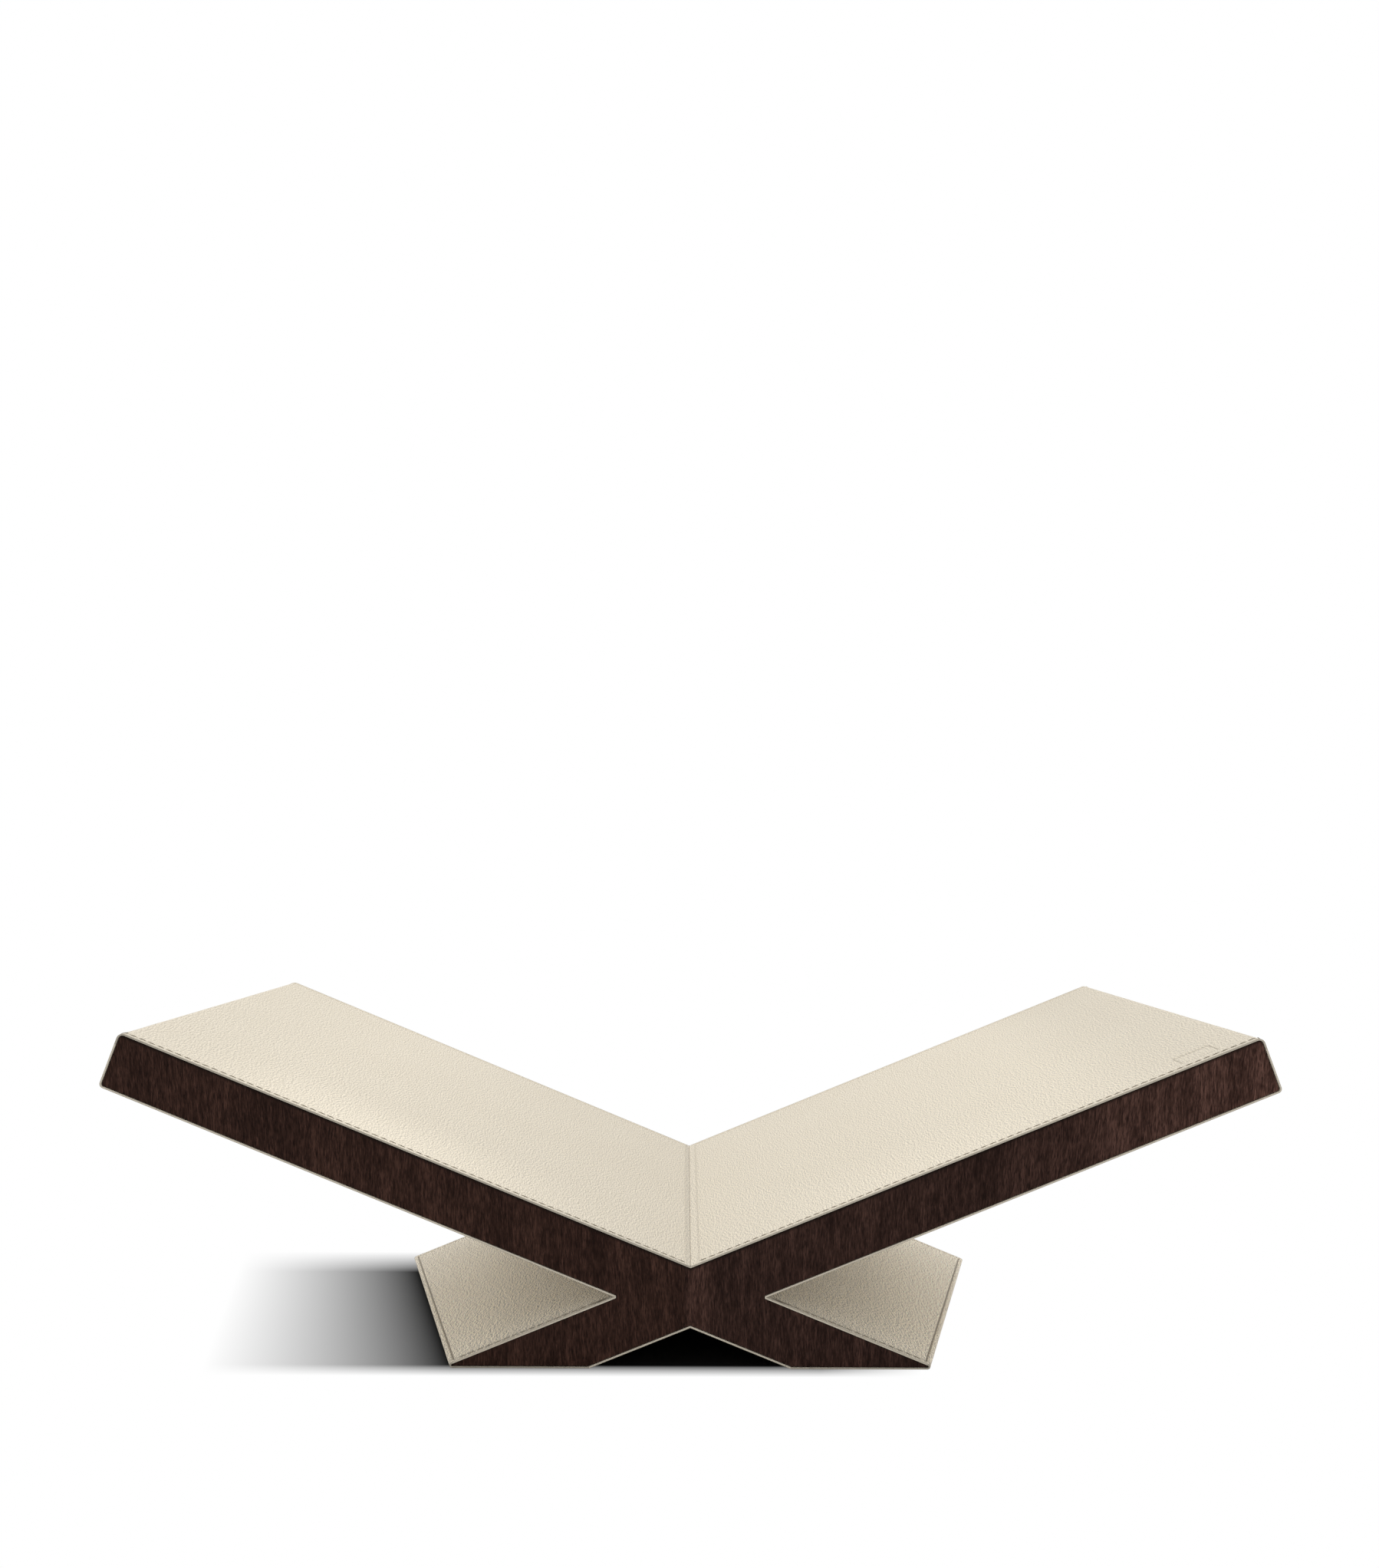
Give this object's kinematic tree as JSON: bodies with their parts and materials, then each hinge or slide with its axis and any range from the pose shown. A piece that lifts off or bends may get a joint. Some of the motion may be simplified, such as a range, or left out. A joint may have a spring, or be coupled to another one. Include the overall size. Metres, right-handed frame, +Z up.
{
  "type": "book stand",
  "caption": "Low X-shaped stand that holds an open book in its wide V, walnut faces, cream stitched leather covering, raised towards the back",
  "frame": {"origin": "on the table, under the middle of the stand's box", "axes": "+X to the reader's right along the stand's width, +Y away from the reader, +Z up; the fold runs back and up in the YZ plane"},
  "size_m": [0.4316, 0.2262, 0.1483],
  "materials": {
    "walnut": "dark oiled walnut, upright grain, satin",
    "core_wood": "plain sawn and glued wood, hidden",
    "cream_leather": "cream leather, fine pebbled grain, tone-on-tone stitching along the edges"
  },
  "bodies": {
    "root": {"left_arm_board": "core_wood", "right_arm_board": "core_wood", "front_facing_left": "walnut", "front_facing_right": "walnut", "back_facing_left": "walnut", "back_facing_right": "walnut", "arm_leather_left": "cream_leather", "arm_leather_right": "cream_leather", "leg_leather_left": "cream_leather", "leg_leather_right": "cream_leather", "under_leather_left": "cream_leather", "under_leather_right": "cream_leather"}
  },
  "joints": []
}
